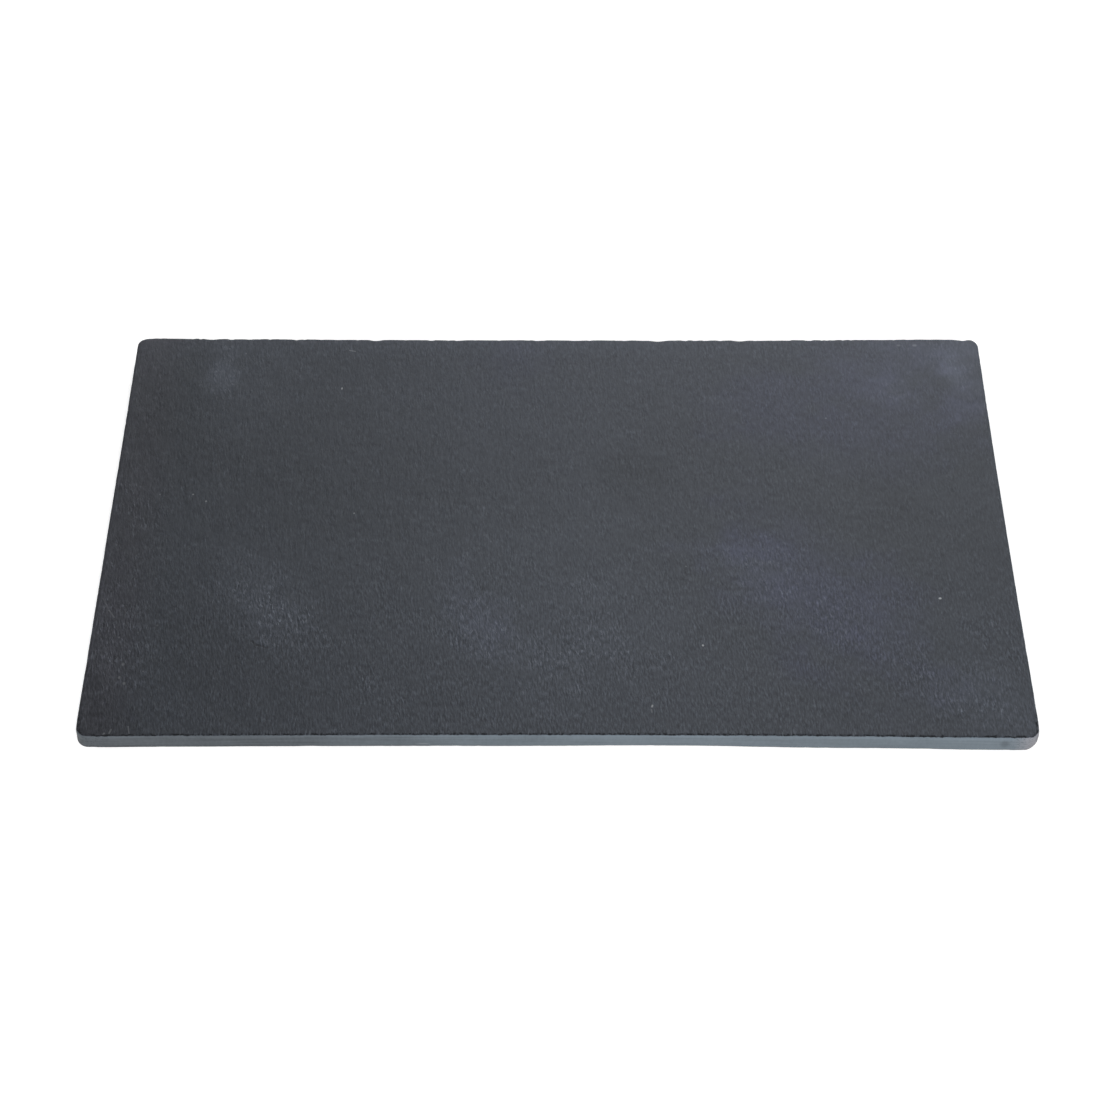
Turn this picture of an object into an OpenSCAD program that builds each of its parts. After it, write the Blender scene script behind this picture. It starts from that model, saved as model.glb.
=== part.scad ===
// Slate serving board: one sawn slab of natural slate on four stuck-on rubber feet.
// Lengths are in millimetres. The origin is on the table, under the middle of the slab.
// X runs along the width, Y from the front edge to the back edge, and Z up.

/* [Slab] */
// Width of the slab, along its long side
board_w = 280; // [200:5:360]
// Depth of the slab, from front to back
board_d = 180; // [120:5:260]
// Thickness of the slab
board_t = 5; // [4:0.5:10]
// Radius of the four corners, seen from above
corner_r = 4; // [3:0.5:15]
// Radius that the sawn edges are eased by, along the top and the bottom
arris_r = 0.5; // [0.2:0.1:1.4]

/* [Feet] */
// Diameter of a foot where it meets its adhesive disc
foot_d = 10; // [7:0.5:14]
// Height of a foot, without its adhesive disc
foot_h = 1.5; // [1:0.1:4]
// Radius of the round between a foot's side and its tread
foot_round = 0.5; // [0.2:0.1:0.9]
// Distance from a long or short edge of the slab to the middle of a foot
foot_inset = 18; // [12:1:40]

/* [Adhesive] */
// Thickness of the adhesive disc between a foot and the slab
adhesive_t = 0.15; // [0.05:0.05:0.5]
// How far the adhesive disc stays inside the rim of its foot
adhesive_margin = 0.3; // [0:0.1:1]

/* [Hidden] */

// Facets of a full turn, where a view needs them
round_facets = 96;

// Which way a foot lies from the middle of the slab
left = -1;
right = 1;
front = -1;
rear = 1;

// Height of the underside of the slab above the table
slab_z = foot_h + adhesive_t;

// Places of the feet, from the middle of the slab
foot_x = board_w / 2 - foot_inset;
foot_y = board_d / 2 - foot_inset;

// Middle of a corner's round, from the middle of the slab
corner_x = board_w / 2 - corner_r;
corner_y = board_d / 2 - corner_r;

// Radius of a foot, and of its flat tread, where the round begins
foot_r = foot_d / 2;
tread_r = foot_r - foot_round;

// Half of the slab's section, from its middle to an edge whose two arrises are eased
module half_section(reach) {
    square([reach - arris_r, board_t]);
    translate([0, arris_r])
        square([reach, board_t - 2 * arris_r]);
    for (height = [arris_r, board_t - arris_r])
        translate([reach - arris_r, height])
            circle(r = arris_r, $fn = round_facets);
}

// The whole section across the slab, with an eased edge on each side
module full_section(reach) {
    half_section(reach);
    mirror([1, 0])
        half_section(reach);
}

// The straight stretch of the slab that reaches both long edges
module slab_between_short_edges() {
    rotate([90, 0, 90])
        linear_extrude(2 * corner_x, center = true)
            full_section(board_d / 2);
}

// The straight stretch of the slab that reaches both short edges
module slab_between_long_edges() {
    rotate([90, 0, 0])
        linear_extrude(2 * corner_y, center = true)
            full_section(board_w / 2);
}

// The four rounded corners, each a turned disc with the same eased arrises
module slab_corners() {
    for (side = [left, right], end = [front, rear])
        translate([side * corner_x, end * corner_y])
            rotate_extrude($fn = round_facets)
                half_section(corner_r);
}

// The slab of natural slate, sawn to size
module slate_slab() {
    color("#43484d")
        translate([0, 0, slab_z]) {
            slab_between_short_edges();
            slab_between_long_edges();
            slab_corners();
        }
}

// Half of a foot's section, from its axis to its side, with the tread down on the table
module foot_profile() {
    square([tread_r, foot_h]);
    translate([0, foot_round])
        square([foot_r, foot_h - foot_round]);
    intersection() {
        translate([tread_r, foot_round])
            circle(r = foot_round, $fn = round_facets);
        square([foot_r, foot_round]);
    }
}

// One rubber foot, turned about its own axis
module foot_pad(side, end) {
    color("#232426")
        translate([side * foot_x, end * foot_y])
            rotate_extrude($fn = round_facets)
                foot_profile();
}

// The adhesive disc that holds one foot to the underside of the slab
module adhesive_disc(side, end) {
    color("#c9c7bd")
        translate([side * foot_x, end * foot_y, foot_h])
            cylinder(r = foot_r - adhesive_margin, h = adhesive_t, $fn = round_facets);
}

slate_slab();
foot_pad(left, front);  // foot_pad_front_left
foot_pad(right, front);  // foot_pad_front_right
foot_pad(left, rear);  // foot_pad_rear_left
foot_pad(right, rear);  // foot_pad_rear_right
adhesive_disc(left, front);  // adhesive_disc_front_left
adhesive_disc(right, front);  // adhesive_disc_front_right
adhesive_disc(left, rear);  // adhesive_disc_rear_left
adhesive_disc(right, rear);  // adhesive_disc_rear_right
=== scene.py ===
# %% [markdown]
# # A slate serving board
# The board is one slab of natural slate, split along its grain, sawn to size and rubbed
# smooth along its edges. Four rubber feet are stuck under it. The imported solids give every
# size and place, and this lesson gives the stone its split face, its chipped arrises and
# its colour.

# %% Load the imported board
import math

import bmesh
import bpy
from mathutils import Matrix, Vector, noise


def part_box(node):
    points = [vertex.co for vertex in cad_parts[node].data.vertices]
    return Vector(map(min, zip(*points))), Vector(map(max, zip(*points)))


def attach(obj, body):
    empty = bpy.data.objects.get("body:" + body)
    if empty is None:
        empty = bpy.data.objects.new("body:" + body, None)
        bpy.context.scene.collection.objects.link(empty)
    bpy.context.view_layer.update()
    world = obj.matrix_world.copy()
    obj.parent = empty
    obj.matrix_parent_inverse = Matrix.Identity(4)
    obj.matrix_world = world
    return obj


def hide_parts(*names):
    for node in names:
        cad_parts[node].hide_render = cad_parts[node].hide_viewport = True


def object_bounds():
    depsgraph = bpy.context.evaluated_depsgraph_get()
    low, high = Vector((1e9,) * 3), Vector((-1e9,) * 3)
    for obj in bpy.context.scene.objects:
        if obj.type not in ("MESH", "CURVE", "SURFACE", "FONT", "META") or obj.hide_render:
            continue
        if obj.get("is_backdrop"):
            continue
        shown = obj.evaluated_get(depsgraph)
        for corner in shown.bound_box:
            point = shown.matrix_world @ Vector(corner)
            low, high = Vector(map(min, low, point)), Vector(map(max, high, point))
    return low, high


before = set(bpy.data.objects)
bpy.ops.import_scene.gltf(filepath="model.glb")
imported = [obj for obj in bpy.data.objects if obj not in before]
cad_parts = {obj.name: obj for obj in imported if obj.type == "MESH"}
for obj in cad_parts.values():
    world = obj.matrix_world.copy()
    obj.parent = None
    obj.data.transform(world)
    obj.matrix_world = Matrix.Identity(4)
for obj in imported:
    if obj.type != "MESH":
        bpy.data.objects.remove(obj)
cad_low, cad_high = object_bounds()
print("nodes:", sorted(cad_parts))

# %% [markdown]
# ## Sizes
# A mason speaks of stone in millimetres and Blender works in metres, so one value, mm,
# turns the one into the other. The slab's width, depth and thickness are read from its
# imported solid. Only what a box can't tell, the radius of the corners and of the eased
# edges, is written here. The relief is worked out in plain millimetres later, so the half
# sizes are kept as such too.

# %% Sizes of the slab
mm = 0.001
slab_low, slab_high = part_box("slate_slab")
width = slab_high.x - slab_low.x
depth = slab_high.y - slab_low.y
thickness = slab_high.z - slab_low.z
corner_radius = 4 * mm
arris_radius = 0.5 * mm
half_width = width / 2 / mm
half_depth = depth / 2 / mm
round_mm = corner_radius / mm
print(f"slab {width / mm:.0f} x {depth / mm:.0f} x {thickness / mm:.1f} mm")

# %% [markdown]
# ## The camera
# The photograph's camera can be worked out from the slab's outline: four corners of a known
# rectangle fix the height, the distance and the tilt. A lens of about 94 mm, 90 centimetres
# away, fits to half a pixel. The camera is turned by three small rotations, written apart
# so that each can be read: the slab lay a hair askew, the lens looked down by some 44
# degrees, and the picture hardly leans.

# %% The photograph's camera
picture_size = 1100
focal_pixels = 2884
camera_place = Vector((-1.18, -651.16, 625.01)) * mm
camera_pitch = math.radians(44.052)
camera_yaw = math.radians(0.109)
camera_roll = math.radians(0.0175)

turn = Matrix.Rotation(camera_yaw, 4, "Z")
tilt = Matrix.Rotation(math.pi / 2 - camera_pitch, 4, "X")
lean = Matrix.Rotation(camera_roll, 4, "Z")
camera = bpy.data.objects.new("camera", bpy.data.cameras.new("camera"))
camera.data.sensor_width = 36
camera.data.lens = focal_pixels / picture_size * camera.data.sensor_width
camera.matrix_world = Matrix.Translation(camera_place) @ turn @ tilt @ lean
bpy.context.scene.collection.objects.link(camera)
bpy.context.scene.camera = camera
print(f"lens {camera.data.lens:.1f} mm")

# %% [markdown]
# Marks on the stone are easiest to point at in the photograph. A line of sight from the
# camera through a pixel meets the top of the slab in one place, so this helper turns a
# pixel of the picture into a place on the board, in millimetres from its middle.

# %% From a pixel to a place on the board
def on_board(pixel_x, pixel_y):
    """Place on the top face, in millimetres, that the photograph shows at a pixel."""
    half = picture_size / 2
    sight = Vector((pixel_x - half, half - pixel_y, -focal_pixels))
    sight = camera.matrix_world.to_3x3() @ sight
    reach = (slab_high.z - camera_place.z) / sight.z
    place = camera_place + sight * reach
    return place.x / mm, place.y / mm


print("middle of the picture lies at", [round(v, 1) for v in on_board(550, 550)])

# %% [markdown]
# ## Floor and light
# The board was photographed on white. A large matt floor and a pale sky stand in for the
# studio. The lamps are daylight, a little blue, so the floor is a little warm, and it glows
# faintly, so that it is as white right beside the board as it is in the photograph. The
# stone is dark and only half matt, so most of what the eye reads as its surface is a soft
# sheen. Its brightness across the photograph was matched with trial lamps, each rendered
# alone: a low lamp behind and a taller one behind to the right give the sheen and make each
# small ripple show, and a strong lamp at the front lights the sawn edge and the floor.

# %% Floor
def plain_material(name, colour, roughness, glow):
    """A material with one colour that glows a little, for what isn't part of the board."""
    material = bpy.data.materials.new(name)
    material.use_nodes = True
    surface = material.node_tree.nodes["Principled BSDF"]
    surface.inputs["Base Color"].default_value = (*colour, 1)
    surface.inputs["Roughness"].default_value = roughness
    surface.inputs["Emission Color"].default_value = (1, 1, 1, 1)
    surface.inputs["Emission Strength"].default_value = glow
    return material


floor_size = 12
floor_colour = (0.95, 0.9, 0.84)
floor_glow = 0.35
bpy.ops.object.select_all(action="DESELECT")
bpy.ops.mesh.primitive_plane_add(size=floor_size)
floor = bpy.context.object
floor.name = "floor"
floor.data.materials.append(plain_material("pale_floor", floor_colour, 0.8, floor_glow))
floor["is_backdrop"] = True

# %% Light
daylight = (0.93, 0.98, 1.05)
lamp_distance = 1.6


def soft_lamp(name, bearing, height, size, power):
    """A rectangular studio lamp that faces the board, with its bearing from the back to the right."""
    lamp = bpy.data.objects.new(name, bpy.data.lights.new(name, "AREA"))
    lamp.data.shape = "RECTANGLE"
    lamp.data.size, lamp.data.size_y = size
    lamp.data.energy = power
    lamp.data.color = daylight
    bearing, height = math.radians(bearing), math.radians(height)
    reach = math.cos(height)
    place = Vector((math.sin(bearing) * reach, math.cos(bearing) * reach, math.sin(height)))
    facing = place.to_track_quat("Z", "Y").to_matrix().to_4x4()
    lamp.matrix_world = Matrix.Translation(place * lamp_distance) @ facing
    bpy.context.scene.collection.objects.link(lamp)


soft_lamp("back_lamp", 0, 30, (1.2, 0.8), 4.9)
soft_lamp("window_lamp", 25, 42, (1.2, 1.3), 7.6)
soft_lamp("front_lamp", 180, 35, (1.6, 0.8), 30)
sky_strength = 0.35
sky = bpy.data.worlds.new("studio")
bpy.context.scene.world = sky
sky.use_nodes = True
sky_light = sky.node_tree.nodes["Background"]
sky_light.inputs["Color"].default_value = (*daylight, 1)
sky_light.inputs["Strength"].default_value = sky_strength
bpy.context.scene.view_settings.view_transform = "Standard"

# %% [markdown]
# ## The slab's outline
# The slab could be a cube with its edges bevelled, but a split stone face needs a net of
# small, even faces before it can be made to ripple, and a bevelled cube has one large face
# on top. So the outline comes first: a plane, its four corners rounded, its sides cut into
# short steps. The number of steps is chosen so that each one will meet one square of the
# net that fills the face later.

# %% Selecting by place
def pick(piece, parts, test):
    """In edit mode, selects the faces or edges that pass the test, and nothing else."""
    shape = bmesh.from_edit_mesh(piece.data)
    for part in (*shape.verts, *shape.edges, *shape.faces):
        part.select = False
    bpy.ops.mesh.select_mode(type={"faces": "FACE", "edges": "EDGE"}[parts])
    shape = bmesh.from_edit_mesh(piece.data)
    chosen = [part for part in getattr(shape, parts) if test(part)]
    for part in chosen:
        part.select_set(True)
    bmesh.update_edit_mesh(piece.data)
    return len(chosen)


def heights(part):
    """Heights of a face's or an edge's own corners."""
    return [corner.co.z for corner in part.verts]


def lies_at(part, height):
    """True if every corner of a face or edge lies at that height."""
    return all(abs(z - height) < 0.01 * mm for z in heights(part))


# %% Sides in short steps
step = 0.86 * mm
corner_steps = 12
rim_widths = [0.4 * mm, 0.6 * mm, 0.9 * mm]
net_inset = arris_radius + sum(rim_widths) + step
coarse = 3


def squares(length):
    """How many squares of the fine net fit a length, as a multiple that the coarse net shares."""
    return round((length - 2 * net_inset) / step / (2 * coarse)) * 2 * coarse


across = squares(width)
along = squares(depth)
side_steps = {"x": across - corner_steps, "y": along - corner_steps}
print(f"net of {across} x {along} squares; straight sides of {side_steps} steps")


# %% Outline
def divide(parts):
    """Cuts the selected edges into equal parts, a few cuts at a time because one pass has a limit."""
    factor = next(f for f in range(12, 0, -1) if parts % f == 0)
    for share in (factor, parts // factor):
        if share > 1:
            bpy.ops.mesh.subdivide(number_cuts=share - 1)


def runs_along(edge, axis):
    """True if an edge is long and lies along x or y."""
    span = edge.verts[1].co - edge.verts[0].co
    return abs(getattr(span, axis)) > 4 * corner_radius


bpy.ops.object.select_all(action="DESELECT")
bpy.ops.mesh.primitive_plane_add(size=1, location=(0, 0, slab_high.z))
slab = bpy.context.object
slab.name = "riven_slab"
slab.scale = (width, depth, 1)
bpy.ops.object.transform_apply(location=True, scale=True)
bpy.ops.object.mode_set(mode="EDIT")
bpy.ops.mesh.select_all(action="SELECT")
bpy.ops.mesh.bevel(offset=corner_radius, segments=corner_steps, affect="VERTICES")
bpy.ops.mesh.select_all(action="SELECT")
bpy.ops.mesh.delete(type="ONLY_FACE")
for axis, steps in side_steps.items():
    pick(slab, "edges", lambda edge: runs_along(edge, axis))
    divide(steps)
bpy.ops.mesh.select_all(action="SELECT")
bpy.ops.mesh.edge_face_add()
print("corners round the outline:", len(bmesh.from_edit_mesh(slab.data).verts))

# %% [markdown]
# ## Thickness and eased edges
# The outline is pulled down to the slab's thickness. On the real board the two sharp rims,
# which a mason calls arrises, are rubbed down by hand so that they don't chip or cut. A
# bevel of three steps does that. The wall gets four more rows, so that it can be made
# uneven later.

# %% Thickness and arrises
arris_steps = 3
wall_rows = 5
bpy.ops.mesh.select_all(action="SELECT")
bpy.ops.mesh.extrude_region_move(TRANSFORM_OT_translate={"value": (0, 0, -thickness)})
rim_count = pick(slab, "edges", lambda edge: lies_at(edge, slab_low.z) or lies_at(edge, slab_high.z))
bpy.ops.mesh.bevel(offset=arris_radius, segments=arris_steps, affect="EDGES")
wall_height = thickness - 2 * arris_radius
pick(slab, "edges", lambda edge: max(heights(edge)) - min(heights(edge)) > 0.9 * wall_height)
bpy.ops.mesh.subdivide(number_cuts=wall_rows - 1)
print("rim edges bevelled:", rim_count)

# %% [markdown]
# ## A net for each face
# Each large face is drawn in by a few narrow rims that follow the rounded corners, then
# taken out, and a grid is set into the hole and bridged to it. The top gets the fine net,
# because that is where the stone shows its grain. The underside has squares three times as
# large, which keeps the whole slab under 200,000 triangles. A bridge between two closed
# loops can pair the wrong sides, so the four sides are bridged one by one, each from the
# middle of one rounded corner to the middle of the next. The edges to join are marked as
# seams first, as with a pencil, because each bridge adds new open edges beside them.

# %% Nets
def nearest_side(x, y):
    """The side of the slab that a place, in millimetres, is nearest to."""
    if half_depth - abs(y) < half_width - abs(x):
        return "back" if y > 0 else "front"
    return "right" if x > 0 else "left"


def side_of(edge):
    """The side of the slab that an edge is nearest to."""
    centre = (edge.verts[0].co + edge.verts[1].co) / 2 / mm
    return nearest_side(centre.x, centre.y)


def fill_face(height, rims, cell_count):
    """Replaces the large face at a height by narrow rims and a grid."""
    pick(slab, "faces", lambda face: len(face.verts) > 4 and lies_at(face, height))
    for rim in rims:
        bpy.ops.mesh.inset(thickness=rim, use_even_offset=True)
    bpy.ops.mesh.delete(type="ONLY_FACE")
    bpy.ops.mesh.primitive_grid_add(
        x_subdivisions=cell_count[0],
        y_subdivisions=cell_count[1],
        size=1,
        location=(0, 0, height),
    )
    net = (width - 2 * net_inset, depth - 2 * net_inset, 1)
    bpy.ops.transform.resize(value=net, center_override=(0, 0, height))
    pick(slab, "edges", lambda edge: edge.is_boundary and lies_at(edge, height))
    bpy.ops.mesh.mark_seam()
    for side in ("front", "right", "back", "left"):
        pick(slab, "edges", lambda edge: edge.seam and side_of(edge) == side)
        bpy.ops.mesh.bridge_edge_loops()
    bpy.ops.mesh.select_all(action="SELECT")
    bpy.ops.mesh.mark_seam(clear=True)


fill_face(slab_high.z, rim_widths, (across, along))
fill_face(slab_low.z, [sum(rim_widths)], (across // coarse, along // coarse))
bpy.ops.mesh.select_all(action="SELECT")
bpy.ops.mesh.normals_make_consistent(inside=False)
bpy.ops.object.mode_set(mode="OBJECT")
triangles = sum(len(face.vertices) - 2 for face in slab.data.polygons)
print(f"slab: {len(slab.data.vertices)} points, {triangles} triangles")

# %% [markdown]
# ## Relief of the split faces
# Slate is split with a chisel along its cleavage, and the two faces that come apart follow
# the mineral grain: long shallow swells, ripples that run with the grain, and patches where
# thin scales came away and left it rougher. A Displace modifier with a texture could do
# this, but noise in code can be leaned along the grain, calmed round the feet and kept
# below the solid's flat face, so each point is moved by its own sum. Only ripples of a few
# millimetres are modelled here. The finer grain is left to the material, which has to know
# the same patches, so they are listed first.

# %% Grain
relief_lean = -0.08
colour_lean = 0.11


def across_grain(x, y, lean):
    """How far a place lies across the grain, which leans more on the left than on the right."""
    return x + y * (lean - x * 0.0005)


def wave(x, y, reach_x, reach_y, seed):
    """Smooth noise from -1 to 1, with hills about reach_x by reach_y millimetres."""
    return noise.noise(Vector((x / reach_x, y / reach_y, seed)))


def fade(value, low, high):
    """0 below low, 1 above high, and smooth between; low may be the higher one."""
    share = min(max((value - low) / (high - low), 0), 1)
    return share * share * (3 - 2 * share)


# %% Patches
# Each has the pixel of its middle, its half width and half depth in millimetres, and how much
# paler, rougher and bluer the stone is there. In the front half they lean back to the left.
patches = [
    ((262, 598), (11, 18), 0.3, 0.3, 0.0),
    ((260, 595), (8, 8), 0.0, 0.4, 0.0),
    ((285, 625), (11, 13), 0.1, 0.9, 0.0),
    ((245, 680), (6, 8), 0.0, 0.3, 0.0),
    ((380, 691), (7, 8), 0.0, 0.5, 0.0),
    ((480, 618), (9, 16), 0.42, 0.5, 0.3),
    ((420, 625), (6, 7), 0.0, 0.3, 0.0),
    ((478, 632), (8, 8), 0.0, 0.5, 0.0),
    ((482, 600), (9, 9), 0.0, 0.35, 0.0),
    ((560, 712), (24, 8), 0.0, 0.15, 0.0),
    ((555, 658), (12, 12), 0.08, 0.8, 0.0),
    ((610, 650), (8, 13), 0.08, 0.7, 0.0),
    ((655, 660), (5, 6), 0.0, 0.5, 0.0),
    ((590, 590), (6, 8), 0.05, 0.4, 0.0),
    ((570, 600), (46, 38), 0.17, 0.1, 0.0),
    ((540, 660), (10, 24), 0.06, 0.0, 0.0),
    ((590, 430), (10, 26), 0.07, 0.0, 0.0),
    ((588, 490), (9, 24), 0.07, 0.0, 0.0),
    ((635, 475), (13, 12), -0.2, 0.0, 0.0),
    ((755, 565), (11, 12), 0.28, 0.5, 0.0),
    ((805, 590), (22, 24), 0.2, 0.3, 0.0),
    ((815, 592), (25, 34), 0.0, 0.0, 1.0),
    ((880, 583), (11, 13), 0.0, 0.0, 0.5),
    ((740, 535), (8, 10), 0.0, 0.0, 0.6),
    ((790, 660), (7, 8), 0.0, 0.0, 0.6),
    ((865, 660), (7, 8), 0.0, 0.0, 0.4),
    ((940, 682), (8, 10), 0.05, 0.0, 0.3),
    ((808, 582), (6, 7), 0.0, 0.2, 0.0),
    ((850, 630), (12, 12), 0.05, 0.5, 0.0),
    ((922, 672), (8, 10), 0.05, 0.7, 0.0),
    ((968, 708), (9, 7), 0.1, 0.9, 0.0),
    ((988, 690), (10, 12), 0.14, 0.4, 0.0),
    ((1000, 645), (8, 14), 0.05, 0.5, 0.0),
    ((1000, 705), (16, 18), 0.24, 0.0, 0.0),
    ((128, 490), (7, 20), 0.0, 0.3, 0.0),
    ((116, 560), (7, 16), 0.0, 0.3, 0.0),
    ((118, 612), (7, 10), 0.05, 0.5, 0.0),
    ((112, 655), (9, 12), 0.05, 0.6, 0.0),
    ((98, 708), (8, 18), -0.18, 0.0, 0.0),
    ((222, 362), (5, 7), 0.45, 0.3, 0.0),
    ((222, 373), (5, 7), 0.6, 0.5, 0.0),
    ((248, 368), (15, 28), 0.25, 0.1, 0.0),
    ((148, 354), (9, 14), 0.2, 0.0, 0.0),
    ((176, 410), (12, 24), -0.15, 0.0, 0.0),
    ((130, 540), (12, 18), -0.1, 0.0, 0.0),
    ((370, 500), (42, 44), -0.1, 0.0, 0.0),
    ((225, 662), (16, 18), -0.09, 0.0, 0.0),
    ((330, 700), (36, 13), -0.09, 0.0, 0.0),
    ((760, 475), (28, 26), -0.09, 0.0, 0.0),
    ((900, 535), (30, 22), -0.12, 0.0, 0.0),
    ((708, 600), (9, 22), -0.08, 0.0, 0.0),
    ((840, 706), (16, 10), -0.07, 0.0, 0.0),
    ((770, 403), (24, 14), -0.02, 0.0, 1.0),
    ((885, 425), (34, 18), -0.02, 0.0, 1.0),
    ((952, 402), (11, 12), 0.06, 0.0, 0.5),
    ((860, 368), (22, 14), 0.0, 0.0, 0.6),
    ((515, 360), (10, 12), 0.03, 0.0, 0.6),
    ((900, 372), (14, 24), 0.3, 0.1, 0.2),
    ((893, 388), (5, 9), 0.25, 0.3, 0.0),
    ((959, 366), (9, 16), 0.55, 0.2, 0.2),
    ((955, 371), (4, 8), 0.8, 0.5, 0.0),
    ((970, 372), (8, 26), 0.25, 0.0, 0.0),
]


patch_lean = 0.42


def middle_and_lean(pixel):
    """A patch's middle on the board, and how far it leans to the left towards the back."""
    middle_x, middle_y = on_board(*pixel)
    return middle_x, middle_y, fade(middle_y, 45, 15) * patch_lean


patch_places = [middle_and_lean(patch[0]) for patch in patches]


def patches_at(x, y):
    """How much paler, rougher and bluer the stone is at a place."""
    sums = [0, 0, 0]
    ragged = 0.5 * wave(x, y, 14, 11, 21.5) + 0.4 * wave(x, y, 5.5, 4.5, 22.5)
    for (middle_x, middle_y, lean), (_, (half_x, half_y), *shares) in zip(patch_places, patches):
        back = (y - middle_y) / half_y
        if abs(back) < 2.5:
            reach = math.hypot((x - middle_x + (y - middle_y) * lean) / half_x, back)
            inside = fade(reach + ragged, 1.6, 0.15)
            sums = [total + share * inside for total, share in zip(sums, shares)]
    return sums


print("in the third patch:", [round(v, 2) for v in patches_at(*on_board(*patches[2][0]))])


# %% Height of the top face
mean_dip = 0.16
least_dip = 0.01


def top_dip(x, y, rougher):
    """How far the split top lies below the solid's flat one, in millimetres."""
    u = across_grain(x, y, relief_lean)
    swell = 0.08 * wave(x, y, 62, 48, 1.5) + 0.05 * wave(u, y, 21, 32, 2.5)
    ripple = 0.04 * wave(u, y, 6.5, 11, 3.5) + 0.035 * wave(u, y, 2.6, 4.4, 4.5)
    return max(least_dip, mean_dip + swell + ripple * (1 + 0.8 * rougher))


# %% [markdown]
# The slab isn't equally thick everywhere. Along its front edge the photograph shows how the
# underside runs: level on the left, hollow right of the middle, and half a millimetre lower
# at the right end. Further back it is a guess, with the same gentle relief as the top. It is
# level round each foot, so that the foot lies flat against it.

# %% Height of the underside
foot_boxes = {name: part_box(name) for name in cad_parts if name.startswith("foot_pad")}
foot_middles = [(low + high) / 2 / mm for low, high in foot_boxes.values()]

# Each has a place along the front edge and how far the underside rises there, in millimetres.
front_rises = [
    (-140, 0.05),
    (-60, 0.0),
    (-22, -0.05),
    (35, 0.36),
    (76, -0.3),
    (98, -0.3),
    (120, -0.55),
    (140, -0.5),
]


def front_rise(x):
    """How far the underside rises along the front edge, eased from one measured place to the next."""
    for (low, rise), (high, next_rise) in zip(front_rises, front_rises[1:]):
        if x <= high:
            return rise + (next_rise - rise) * fade(x, low, high)
    return front_rises[-1][1]


# The underside is level out to seat_level from a foot's middle, and as it comes past seat_end.
mean_rise = 0.14
seat_level = 6
seat_end = 14


def underside_rise(x, y):
    """How far the split underside lies above the solid's flat one: nothing where a foot is stuck."""
    swell = 0.14 * wave(x, y, 46, 34, 6.5) + 0.07 * wave(x, y, 17, 13, 7.5)
    ripple = 0.05 * wave(across_grain(x, y, relief_lean), y, 7, 14, 8.5)
    to_foot = min(math.hypot(x - middle.x, y - middle.y) for middle in foot_middles)
    near_front = fade(y, -58, -86)
    rise = front_rise(x) * near_front + (mean_rise + swell) * (1 - near_front) + ripple
    return rise * fade(to_foot, seat_level, seat_end)


rises = [round(underside_rise(x, -89), 2) for x in (-130, 0, 35, 120)]
print("underside rises", rises, "mm at the front")

# %% [markdown]
# ## Sawn edges
# The four edges are sawn across the grain and rubbed by hand. They are nearly straight: in
# the photograph the long ones are hollow by a millimetre over their whole length, and the
# right one by half of that. The back edge wavers a little. The arrises have small nicks,
# one to three millimetres long, where thin scales broke off, and the front right corner has
# lost a little of its lower half. Each point near the rim is pushed inwards by all this, and
# the push dies away a few millimetres from the edge.

# %% Shape of the edges
# How deep each side is hollow at its middle, in millimetres.
hollow = {"front": 0.95, "back": 0.9, "right": 0.42, "left": 0.1}


def inward(x, y):
    """Distance from the slab's outline, in millimetres, counted inwards."""
    over_x = abs(x) - (half_width - round_mm)
    over_y = abs(y) - (half_depth - round_mm)
    return round_mm - math.hypot(max(over_x, 0), max(over_y, 0)) - min(max(over_x, over_y), 0)


def towards_middle(x, y):
    """Direction from the outline to the middle of the slab, square to the edge."""
    over_x = max(abs(x) - (half_width - round_mm), 0)
    over_y = max(abs(y) - (half_depth - round_mm), 0)
    if over_x == 0 and over_y == 0:
        return Vector((0, 0, 0))
    return Vector((-math.copysign(over_x, x), -math.copysign(over_y, y), 0)).normalized()


def hollowed(x, y):
    """The place after the sides are drawn in a little, most at the middle of each side."""
    pull_y = hollow["back" if y > 0 else "front"] * (1 - (x / half_width) ** 2)
    pull_x = hollow["right" if x > 0 else "left"] * (1 - (y / half_depth) ** 2)
    return x * (1 - pull_x / half_width), y * (1 - pull_y / half_depth)


# %% Nicks and wear
# Depths in millimetres. The nicks have one depth at the top of each side and one at the bottom.
nick_depth = {"front": 0.2, "back": 0.3, "right": 0.12, "left": 0.12}
nick_depth_below = 0.06
knock_depth = 1.2
front_corner_wear = 0.15
mean_push = 0.09
push_reach = 5
nick_reach = 1.2


def nick(x, y, seed, deepest):
    """Depth of the chips along an arris: mostly none, now and then a scoop."""
    small = max(0, wave(x, y, 1.6, 1.6, seed) - 0.12)
    large = max(0, wave(x, y, 5.5, 5.5, seed + 3) - 0.25)
    return deepest * (1.1 * small + 1.6 * large)


def knock(x, y, height):
    """How much is gone from the front right corner, which is knocked off low down."""
    over_x = max(x - (half_width - round_mm), 0) / round_mm
    over_y = max(-y - (half_depth - round_mm), 0) / round_mm
    return knock_depth * over_x * over_y * fade(height, 3, 0.5)


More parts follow.
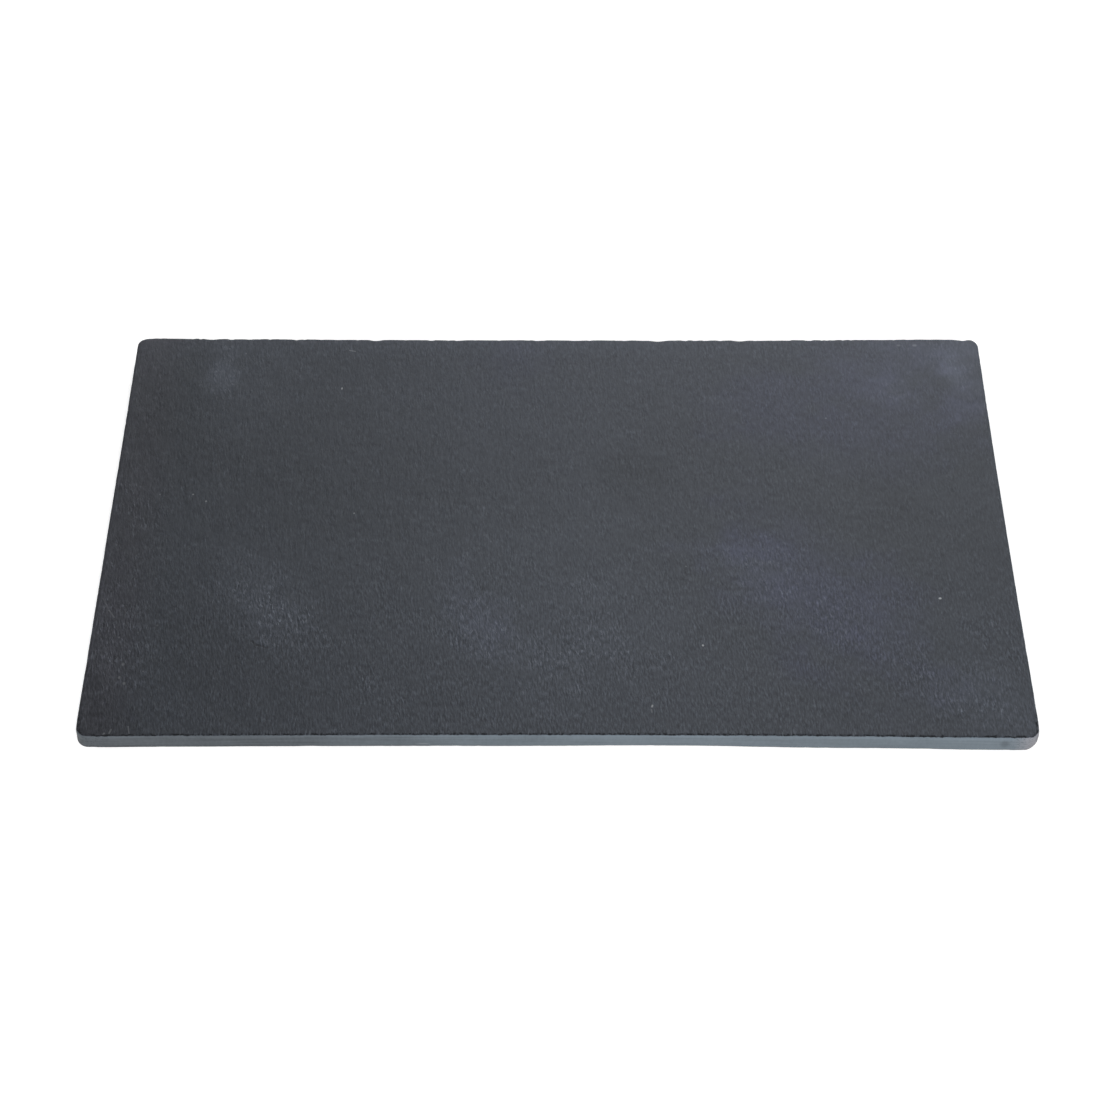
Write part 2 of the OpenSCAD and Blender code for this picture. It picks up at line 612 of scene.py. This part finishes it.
def cut_edge(x, y, z):
    """Push on a point near the rim, in millimetres: the saw's wander and the nicks."""
    rim = inward(x, y)
    side = nearest_side(x, y)
    wander = 0.05 * wave(x, y, 17, 17, 11.5) + 0.012 * wave(x + y, z, 3, 1, 13.5)
    if side == "back":
        wander += 0.14 * wave(x, y, 8, 40, 16.5) + 0.1 * wave(x, y, 3.4, 40, 12.5)
    push = towards_middle(x, y) * (mean_push + wander) * fade(rim, push_reach, 0)
    below_top = slab_high.z / mm - z
    above_bottom = z - slab_low.z / mm
    wear = front_corner_wear * fade(math.hypot(abs(x) - half_width, y + half_depth), 8, 3)
    push += towards_middle(x, y) * (knock(x, y, above_bottom) + wear)
    arrises = ((below_top, 15.5, nick_depth[side], -1), (above_bottom, 25.5, nick_depth_below, 1))
    for gap, seed, deepest, down in arrises:
        near = fade(math.hypot(rim, gap), nick_reach, 0.25)
        if near > 0:
            scoop = nick(x, y, seed, deepest) * near
            push += towards_middle(x, y) * scoop + Vector((0, 0, down * scoop * 0.7))
    return push


# %% [markdown]
# The face is dark and the sawn wall is pale. Where one turns into the other depends on the
# plain slab's shape, which is lost once its points are moved, so each point first gets a few
# notes as attributes, and the material reads them later. The patches are noted too. Ovals in
# the material could draw them, but each would cost it ten nodes.

# %% Notes on every point
note_names = ("from_edge", "above_base", "paler", "rougher", "bluer")
furthest_note = 9
for name in note_names:
    slab.data.attributes.new(name, "FLOAT", "POINT")
notes = {name: slab.data.attributes[name].data for name in note_names}
for corner in slab.data.vertices:
    x, y, z = corner.co / mm
    values = (min(inward(x, y), furthest_note), z - slab_low.z / mm, *patches_at(x, y))
    for name, value in zip(note_names, values):
        notes[name][corner.index].value = value
for name in note_names:
    print(name, "up to", round(max(spot.value for spot in notes[name]), 2))


# %% Move every point
def carve(point, rougher):
    """Place of a point of the plain slab once it is split and sawn."""
    x, y, z = point / mm
    top = slab_high.z / mm - top_dip(x, y, rougher)
    bottom = slab_low.z / mm + underside_rise(x, y)
    share = (point.z - slab_low.z) / thickness
    push = cut_edge(x, y, z)
    new_x, new_y = hollowed(x, y)
    return Vector((new_x, new_y, bottom + (top - bottom) * share)) * mm + push * mm


for corner in slab.data.vertices:
    corner.co = carve(corner.co, notes["rougher"][corner.index].value)
slab.data.update()
bpy.ops.object.select_all(action="DESELECT")
slab.select_set(True)
bpy.context.view_layer.objects.active = slab
bpy.ops.object.shade_smooth()
tops = [corner.co.z / mm for corner in slab.data.vertices]
print(f"slab from {min(tops):.2f} to {max(tops):.2f} mm above the table")

# %% [markdown]
# ## Sums on a material
# A stone's colour is a sum of many small effects, and wiring each sum by hand takes dozens of
# nodes. This class stands for one socket. Adding or multiplying such values adds the Math
# nodes, and its one method adds any other kind of node.

# %% Sums on a material
class Flow:
    """A value that varies over a surface: one socket, with sums that add Math nodes."""

    def __init__(self, tree, socket=None):
        self.tree = tree
        self.socket = socket

    def node(self, kind, settings=None, inputs=None, output=0):
        """Adds a node: its settings first, then values or links for its sockets."""
        made = self.tree.nodes.new(kind)
        for name, value in (settings or {}).items():
            setattr(made, name, value)
        for name, value in (inputs or {}).items():
            if isinstance(value, Flow):
                self.tree.links.new(value.socket, made.inputs[name])
            else:
                made.inputs[name].default_value = value
        return Flow(self.tree, made.outputs[output])

    def sum(self, operation, first, second):
        return self.node("ShaderNodeMath", {"operation": operation}, {0: first, 1: second})

    def __add__(self, other):
        return self.sum("ADD", self, other)

    def __sub__(self, other):
        return self.sum("SUBTRACT", self, other)

    def __rsub__(self, other):
        return self.sum("SUBTRACT", other, self)

    def __mul__(self, other):
        return self.sum("MULTIPLY", self, other)

    def __truediv__(self, other):
        return self.sum("DIVIDE", self, other)

    __radd__ = __add__
    __rmul__ = __mul__


# %% Small helpers for materials
def new_material(name):
    """A node material, its shader and a flow to start from."""
    material = bpy.data.materials.new(name)
    material.use_nodes = True
    surface = material.node_tree.nodes["Principled BSDF"]
    return material, surface, Flow(material.node_tree)


def dress(piece, material):
    """Gives a piece one material, in place of any that it had."""
    piece.data.materials.clear()
    piece.data.materials.append(material)


def wire(flow, surface, socket):
    """Links a flow to a socket of the shader."""
    flow.tree.links.new(flow.socket, surface.inputs[socket])


def bump(surface, rise, strength=1.0):
    """Makes the shader's surface look raised by a flow, in millimetres."""
    inputs = {"Strength": strength, "Distance": mm, "Height": rise}
    wire(rise.node("ShaderNodeBump", None, inputs), surface, "Normal")


def place_in_mm(start):
    """x, y and z of the surface, in millimetres in the board's own frame."""
    spot = start.node("ShaderNodeTexCoord", output="Object")
    spot = start.node("ShaderNodeVectorMath", {"operation": "SCALE"}, {0: spot, "Scale": 1 / mm})
    x = start.node("ShaderNodeSeparateXYZ", None, {0: spot}, "X")
    rest = [Flow(start.tree, x.socket.node.outputs[name]) for name in ("Y", "Z")]
    return x, *rest


def at(x, y, z):
    """One vector from three values."""
    start = next(part for part in (x, y, z) if isinstance(part, Flow))
    return start.node("ShaderNodeCombineXYZ", None, {0: x, 1: y, 2: z})


def speckle(place, detail, roughness):
    """Noise about 0 to 1 with a mean of a half; one unit of place is one hill."""
    inputs = {"Vector": place, "Scale": 1.0, "Detail": detail, "Roughness": roughness}
    return place.node("ShaderNodeTexNoise", {"noise_dimensions": "3D"}, inputs)


def ease(value, low, high, to_low=0.0, to_high=1.0):
    """to_low at low, to_high at high, and smooth between; low may be the higher one."""
    inputs = {0: value, 1: low, 2: high, 3: to_low, 4: to_high}
    return value.node("ShaderNodeMapRange", {"interpolation_type": "SMOOTHSTEP"}, inputs)


def blend(share, first, second):
    """Mixes two colours."""
    first, second = (c if isinstance(c, Flow) else (*c, 1) for c in (first, second))
    return share.node("ShaderNodeMix", {"data_type": "RGBA"}, {0: share, 6: first, 7: second}, 2)


def tone(colour, gain):
    """Multiplies a colour by a value."""
    start = gain if isinstance(gain, Flow) else colour
    return start.node("ShaderNodeVectorMath", {"operation": "SCALE"}, {0: colour, "Scale": gain})


def length(offset):
    """Length of a vector."""
    return offset.node("ShaderNodeVectorMath", {"operation": "LENGTH"}, {0: offset}, "Value")


def oval(x, y, middle, halves):
    """How far a place is from an oval's middle, as a share of the oval's half sizes."""
    return length(at((x - middle[0]) / halves[0], (y - middle[1]) / halves[1], 0.0))


def stroke(x, y, first, last):
    """How far a place is from a straight stroke between two places, in millimetres."""
    span = Vector((last[0] - first[0], last[1] - first[1]))
    over = span / span.length_squared
    share = (x - first[0]) * over.x + (y - first[1]) * over.y
    share = share.node("ShaderNodeClamp", None, {"Value": share})
    return length(at(x - first[0] - share * span.x, y - first[1] - share * span.y, 0.0))


# %% [markdown]
# ## The slate
# Oiled slate is close to black. Its grain is a mat of short strokes, half a millimetre wide
# and two long, some a little paler and some a little raised, which lean with the cleavage.
# The same stretched noise is used twice, once for the colour and once for a bump. Their
# leans differ, because lamps from behind only show the slopes that face them, which turns
# what the eye sees. The patches make the grain paler and coarser and strew small bright
# flecks in it, raised a little by the bump; their pale colour is a painted highlight, the
# glint of tiny scales. White specks, a few scratches and a scar where a scale broke off lie
# about; the scar's dark step is a painted shadow and its pale lip a painted highlight.
# Along the front arris the dark face ends in a fine ragged line of painted shade, where the
# chipped arris turns away from the sheen. The wall below isn't oiled, so it is paler, with
# faint flat layers; a pale line along its top is a painted highlight and a darker band
# along its foot is painted shade.

# %% Grain of the slate
slate, slate_shader, start = new_material("riven_slate")
x, y, z = place_in_mm(start)


def streaks(across, wide, long, shift):
    """Noise drawn out along the grain into strokes about wide by long millimetres."""
    return speckle(at(across / wide, y / long, z * 0.3 + shift), 3.0, 0.55)


u = across_grain(x, y, colour_lean)
v = across_grain(x, y, relief_lean)
grain = streaks(u, 0.55, 2.1, 0)
scales = streaks(u, 1.3, 4.4, 20)
pits = streaks(v, 0.55, 2.2, 10)
lumps = streaks(v, 1.2, 4.5, 30)
fleck_glint_noise = streaks(u, 0.95, 3.2, 50)
ripples = speckle(at(v / 5.5, y / 9, z * 0.1 + 40), 2.0, 0.5)
mottle = speckle(at(x / 14, y / 11, z * 0.1 + 60), 3.0, 0.55)
blotches = speckle(at(x / 5, y / 5, z * 0.1 + 70), 2.0, 0.6)
clouds = speckle(at(x / 55, y / 45, 80.0), 1.0, 0.5)

# %% Notes on the slab's points
def note(name):
    """A value that was written on each point of the slab, smooth between the points."""
    return start.node("ShaderNodeAttribute", {"attribute_name": name}, output="Fac")


rim, height, paler, rougher, bluer = (note(name) for name in note_names)
coarseness = ease(y, 0, -45, 1.2, 1.65) + ease(x, -60, -120, 0.0, 0.15) + rougher * 1.1
coarseness = coarseness * (1 + (blotches - 0.5) * 2.0)
fine = ease(y, 20, -70, 0.95, 1.2)
broad = ease(y, 30, -75, 0.95, 0.46)

# %% White specks
# Each has its pixel, its half width and half depth in millimetres, and its brightness.
specks = [
    ((160, 494), (0.22, 0.29), 0.2),
    ((193, 494), (0.3, 0.39), 0.34),
    ((206, 501), (0.35, 0.45), 0.3),
    ((246, 353), (0.3, 0.39), 0.15),
    ((342, 388), (0.24, 0.62), 0.6),
    ((354, 513), (0.25, 0.33), 0.32),
    ((599, 412), (0.25, 0.33), 0.07),
    ((686, 566), (0.2, 0.26), 0.2),
    ((703, 645), (0.34, 0.44), 0.8),
    ((826, 418), (0.35, 0.45), 0.17),
    ((940, 598), (0.5, 0.42), 0.8),
    ((119, 637), (0.3, 0.39), 0.13),
    ((119, 677), (0.45, 0.59), 0.15),
    ((123, 664), (0.5, 0.65), 0.13),
    ((124, 683), (0.5, 0.65), 0.14),
    ((138, 632), (0.2, 0.26), 0.08),
    ((143, 671), (0.2, 0.26), 0.2),
    ((157, 625), (0.3, 0.39), 0.1),
]
speck = 0.0
for pixel, halves, bright in specks:
    reach = oval(x, y, on_board(*pixel), halves)
    speck = speck + ease(reach + (grain - 0.5) * 1.5, 0.4, 1.3, bright, 0.0)

# %% Scratches
# Each has the pixels of its two ends, its half width in millimetres and its brightness.
scratches = [
    ((103, 598), (109, 610), 0.22, 0.07),
    ((109, 610), (114, 617), 0.25, 0.12),
    ((350, 350), (355, 351), 0.3, 0.16),
    ((652, 706.5), (652.5, 705), 0.27, 0.5),
    ((652, 712), (651.5, 709), 0.2, 0.15),
    ((103, 734.5), (104, 733), 0.28, 0.2),
    ((109, 733), (111, 729), 0.25, 0.15),
    ((129, 733), (128, 726), 0.2, 0.12),
    ((898, 345), (899, 345), 0.5, 0.12),
    ((914, 345), (915, 345), 0.6, 0.16),
]
for first, last, half, bright in scratches:
    reach = stroke(x, y, on_board(*first), on_board(*last)) / half
    speck = speck + ease(reach + (grain - 0.5) * 1.5, 0.4, 1.4, bright, 0.0)

# A scale broke off here and left a step with a raised lip above it. The step's dark is a
# painted shadow and the lip's pale a painted highlight, each with a bump as well. A small
# pit nearby is darkened as painted shade in its hollow.
step_dip_and_shadow = 0.0
for first, last in (((252, 641), (257, 645)), ((257, 645), (267, 647.5))):
    reach = stroke(x, y, on_board(*first), on_board(*last))
    step_dip_and_shadow = step_dip_and_shadow + ease(reach + (grain - 0.5) * 0.3, 0.15, 0.65, 0.45, 0.0)
pit = oval(x, y, on_board(357, 565), (0.5, 0.7))
step_dip_and_shadow = step_dip_and_shadow + ease(pit, 0.5, 1.1, 0.6, 0.0)
lip_rise_and_highlight = ease(oval(x, y, on_board(262, 641), (1.3, 1.3)), 0.4, 1.3, 1.0, 0.0)

# %% Zones of the slab
chips = speckle(at(x / 1.3, y / 1.3, z * 0.15), 2.0, 0.6)
dashes = ease(speckle(at(x / 1.7, y / 1.7, 90.0), 2.0, 0.6), 0.44, 0.56)
over_arris = rim - ease(height, 4.6, 4.15, 0.0, 0.9)
sawn = ease(over_arris + (chips - 0.5) * 0.6, 0.16, 0.34, 1.0, 0.0)
upper = ease(height, 2, 3)

# %% Colours of the slate
# Linear red, green and blue. Worn, chipped and unoiled slate is paler than the oiled face.
left_colour = (0.0156, 0.0169, 0.0202)
left_end_colour = (0.0178, 0.0171, 0.0204)
back_right_colour = (0.0228, 0.0246, 0.0308)
front_right_colour = (0.0228, 0.0246, 0.0291)
right_end_colour = (0.0188, 0.0206, 0.025)
bluer_colour = (0.0224, 0.0234, 0.0348)
# The flecks' pale colour is a painted highlight: the glint of tiny raised scales.
fleck_glint_colour = (0.13, 0.138, 0.156)
speck_colour = (0.3, 0.3, 0.29)
hair_colour = (0.1, 0.106, 0.115)
worn_colour = (0.2, 0.185, 0.19)
scrape_colour = (0.19, 0.19, 0.2)
edge_left_colour = (0.102, 0.113, 0.122)
edge_right_colour = (0.1, 0.118, 0.131)
under_dark_colour = (0.066, 0.073, 0.082)
under_pale_colour = (0.092, 0.098, 0.106)

# %% Colour of the top
darkest_gain = 0.4
# The base colour is darker on the left and paler from the middle to the right, and a tenth darker
# towards the back. This is partly the stone's own tone and partly painted light: the paler right
# follows the sheen of the lamps behind to the right, and the darker back is painted shade that
# tempers the sheen there.
left_base = blend(ease(x, -118, -134), left_colour, left_end_colour)
right_base = blend(ease(y, 85, -15), back_right_colour, front_right_colour)
base = blend(ease(x, -145, -5), left_base, right_base)
base = blend(ease(x, 60, 140) * ease(y, 65, 35), base, right_end_colour)
base = tone(base, ease(y, -30, 50, 1.0, 0.9))
base = blend(bluer * 0.9, base, bluer_colour)
strokes = ((grain - 0.5) * fine * 1.45 + (scales - 0.5) * broad * 0.85) * coarseness
gain = 0.96 + strokes * (1 + strokes * 0.5) + (mottle - 0.5) * 0.3 + (clouds - 0.5) * 0.2 + paler
top_colour = tone(base, gain.sum("MAXIMUM", gain, darkest_gain))
# Flecks in the patches: raised by the bump, and pale in colour as a painted highlight.
fleck_rise_and_glint = ease(fleck_glint_noise, 0.55, 0.7) * ease(blotches, 0.35, 0.6, 0.3, 1.0) * (rougher * 0.9 + 0.08)
top_colour = blend(fleck_rise_and_glint * 0.6, top_colour, fleck_glint_colour)
# The scar's step is darkened as a painted shadow and its lip lightened as a painted highlight.
top_colour = tone(top_colour, (1 - step_dip_and_shadow) * (1 + lip_rise_and_highlight * 0.3))
top_colour = blend(speck, top_colour, speck_colour)
# The front arris is darkened in ragged dashes, painted shade where the chipped arris turns away from
# the lamps' sheen; it is made rougher there as well.
arris_painted_shade = dashes * ease(rim + (chips - 0.5) * 1.4, 0.6, 1.3, 0.8, 0.0) * ease(y, -79, -84)
back_rim = ease(y, 77, 89) * (0.28 + ease(rim, 1.4, 0.5, 0.0, 0.2))
top_colour = tone(top_colour, (1 + back_rim) * (1 - arris_painted_shade))
hairs = ease(speckle(at(x / 0.6, y / 5, 95.0), 2.0, 0.5), 0.6, 0.7) * ease(rim, 0.8, 3.5, 0.3, 0.0)
top_colour = blend(hairs, top_colour, hair_colour)

# %% Colour of the sawn edges and the underside
run = x + y
layers = speckle(at(run / 22, y / 40, z / 0.5), 3.0, 0.6)
rubbed = speckle(at(run / 0.8, y / 3, z / 1.6), 3.0, 0.65)
edge_gain = ease(x, -90, 20, 0.5, 0.9) + ease(x, 95, 130, 0.0, 0.1)
edge_gain = edge_gain + (layers - 0.5) * 0.5 + (rubbed - 0.5) * 0.3 + (mottle - 0.5) * 0.25
# A tenth paler along the top of the wall, a painted highlight where it catches the light, and a fifth
# darker along its foot, painted shade where it turns under.
edge_gain = edge_gain + ease(height, 3.8, 4.4, 0.0, 0.1) - ease(height, 0.9, 0.3, 0.0, 0.2)
edge_colour = blend(ease(x, -130, 0), edge_left_colour, edge_right_colour)
worn = ease(x + (rubbed - 0.5) * 4, 131, 138) * ease(y, -80, -86)
edge_colour = blend(worn * 0.6, edge_colour, worn_colour)
blot = ease(oval(x, height, (129.5, 2.6), (1.4, 1.4)), 0.4, 1.3, 0.3, 0.0)
scuff = ease(x, 128, 135) + ease(x, -128, -136)
pitted = ease(speckle(at(run / 0.5, y / 0.7, z / 0.5 + 7), 2.0, 0.6), 0.52, 0.64, 0.0, 0.35) * scuff
edge_colour = tone(edge_colour, edge_gain * (1 - blot) * (1 - pitted))
scrape = ease(oval(x, height, (-39, 1.3), (2.2, 0.2)) + (rubbed - 0.5), 0.5, 1.2, 0.5, 0.0)
edge_colour = blend(scrape, edge_colour, scrape_colour)
under_gain = 0.8 + (scales - 0.5) * 0.5 + (mottle - 0.5) * 0.4
under_colour = tone(blend(clouds, under_dark_colour, under_pale_colour), under_gain)

# %% Shade the slate
colour = blend(upper, under_colour, top_colour)
colour = blend(sawn, colour, edge_colour)
wire(colour, slate_shader, "Base Color")
gloss = 0.43 - (grain - 0.5) * 0.15 + speck * 0.1 + arris_painted_shade * 0.45
wire(gloss * (1 - sawn) + sawn * 0.62, slate_shader, "Roughness")

relief = ((pits - 0.5) * fine * 0.054 + (lumps - 0.5) * broad * 0.1) * coarseness
relief = relief + (ripples - 0.5) * ease(x, -70, -134, 0.09, 0.2)
relief = (relief + fleck_rise_and_glint * 0.11 + lip_rise_and_highlight * 0.05 - step_dip_and_shadow * 0.05) * (1 - sawn)
saw_marks = ((rubbed - 0.5) * 0.02 + (layers - 0.5) * 0.02) * sawn
bump(slate_shader, relief + saw_marks)
slate_shader.inputs["Specular IOR Level"].default_value = 0.25
dress(slab, slate)
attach(slab, "root")
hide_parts("slate_slab")
print("slate nodes:", len(slate.node_tree.nodes))

# %% [markdown]
# ## Rubber feet
# A foot is a low moulded disc. Its tread is rounded at the rim and, as moulded rubber does,
# it has sunk a little in the middle. One foot is modelled from a circle and copied.

# %% One foot
foot_low, foot_high = foot_boxes["foot_pad_front_left"]
foot_middle = (foot_low + foot_high) / 2
foot_radius = (foot_high.x - foot_low.x) / 2
foot_round = 0.5 * mm
sink = 0.12 * mm

# Each ring of the tread has its width and how much higher its inner rim lies.
tread_rings = [
    (1.0 * mm, 0),
    (0.5 * mm, sink * 0.4),
    (0.7 * mm, sink * 0.5),
    (1.0 * mm, sink * 0.1),
]

bpy.ops.object.select_all(action="DESELECT")
bpy.ops.mesh.primitive_circle_add(
    vertices=72,
    radius=foot_radius,
    fill_type="NGON",
    location=(foot_middle.x, foot_middle.y, foot_high.z),
)
foot = bpy.context.object
foot.name = "rubber_foot_front_left"
bpy.ops.object.transform_apply(location=True)
bpy.ops.object.mode_set(mode="EDIT")
bpy.ops.mesh.select_all(action="SELECT")
drop = foot_low.z - foot_high.z
bpy.ops.mesh.extrude_region_move(TRANSFORM_OT_translate={"value": (0, 0, drop)})
pick(foot, "edges", lambda edge: lies_at(edge, foot_low.z))
bpy.ops.mesh.bevel(offset=foot_round, segments=6, affect="EDGES")
bpy.ops.mesh.select_all(action="SELECT")
bpy.ops.mesh.normals_make_consistent(inside=False)
pick(foot, "faces", lambda face: len(face.verts) > 4 and lies_at(face, foot_low.z))
for ring, lift in tread_rings:
    bpy.ops.mesh.inset(thickness=ring, depth=-lift)
bpy.ops.mesh.poke()
pick(foot, "faces", lambda face: len(face.verts) > 4 and lies_at(face, foot_high.z))
bpy.ops.mesh.inset(thickness=0.3 * mm)
bpy.ops.mesh.inset(thickness=2.2 * mm)
bpy.ops.mesh.poke()
bpy.ops.mesh.select_all(action="SELECT")
bpy.ops.mesh.normals_make_consistent(inside=False)
bpy.ops.object.mode_set(mode="OBJECT")
bpy.ops.object.shade_smooth_by_angle(angle=math.radians(40))
print("foot:", len(foot.data.polygons), "faces")

# %% Rubber
rubber_colour = (0.012, 0.012, 0.013)
dust_colour = (0.075, 0.072, 0.068)
rubber, rubber_shader, start = new_material("foot_rubber")
x, y, z = place_in_mm(start)
skin = speckle(at(x / 0.16, y / 0.16, z / 0.16), 3.0, 0.6)
scuffs = speckle(at(x / 1.8, y / 0.5, z / 0.6), 4.0, 0.6)
dust = ease(scuffs, 0.5, 0.72) * ease(z, 0.05, 0.9, 1.0, 0.35)
wire(blend(dust * 0.5, rubber_colour, dust_colour), rubber_shader, "Base Color")
wire(0.6 + (scuffs - 0.5) * 0.3 + dust * 0.2, rubber_shader, "Roughness")
texture = (skin - 0.5) * 0.012 + (scuffs - 0.5) * 0.02
bump(rubber_shader, texture)
dress(foot, rubber)

# %% Four feet
feet = {"foot_pad_front_left": foot}
for name, (low, high) in foot_boxes.items():
    if name not in feet:
        piece = foot.copy()
        piece.data = foot.data.copy()
        piece.data.transform(Matrix.Translation((low + high) / 2 - foot_middle))
        piece.name = name.replace("foot_pad", "rubber_foot")
        bpy.context.scene.collection.objects.link(piece)
        feet[name] = piece

# A copy takes over what its original was declared to be, so they are declared once all are made.
for name, piece in feet.items():
    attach(piece, "root")
    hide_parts(name)

# %% [markdown]
# ## Adhesive film
# Each foot is held by a disc of clear acrylic film. Seen from the side it is a thin pale
# line. The solid's shape is right, so it only gets a material: hazy, with tiny bubbles.

# %% Adhesive film
clear_colour = (0.5, 0.49, 0.44)
hazy_colour = (0.72, 0.71, 0.68)
film, film_shader, start = new_material("adhesive_film")
x, y, z = place_in_mm(start)
bubbles = start.node("ShaderNodeTexVoronoi", {"feature": "F1"}, {"Vector": at(x, y, z), "Scale": 2.2})
cloudy = speckle(at(x / 1.1, y / 1.1, z / 0.4), 3.0, 0.6)
bubble = ease(bubbles, 0.12, 0.2, 1.0, 0.0)
film_colour = blend(bubble * 0.6 + (cloudy - 0.5) * 0.5, clear_colour, hazy_colour)
wire(film_colour, film_shader, "Base Color")
wire(0.3 + bubble * 0.3 + (cloudy - 0.5) * 0.3, film_shader, "Roughness")
bump(film_shader, bubble * -0.02, 0.6)
for name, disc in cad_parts.items():
    if name.startswith("adhesive_disc"):
        dress(disc, film)
print("film on", sum(name.startswith("adhesive_disc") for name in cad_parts), "discs")

# %% [markdown]
# ## Size
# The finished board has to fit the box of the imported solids, so both boxes are kept.

# %% Keep both boxes
visual_low, visual_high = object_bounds()
boxes = {"cad": [list(cad_low), list(cad_high)], "visual": [list(visual_low), list(visual_high)]}
for name, (low, high) in boxes.items():
    print(name, [round(v / mm, 2) for v in (*low, *high)])
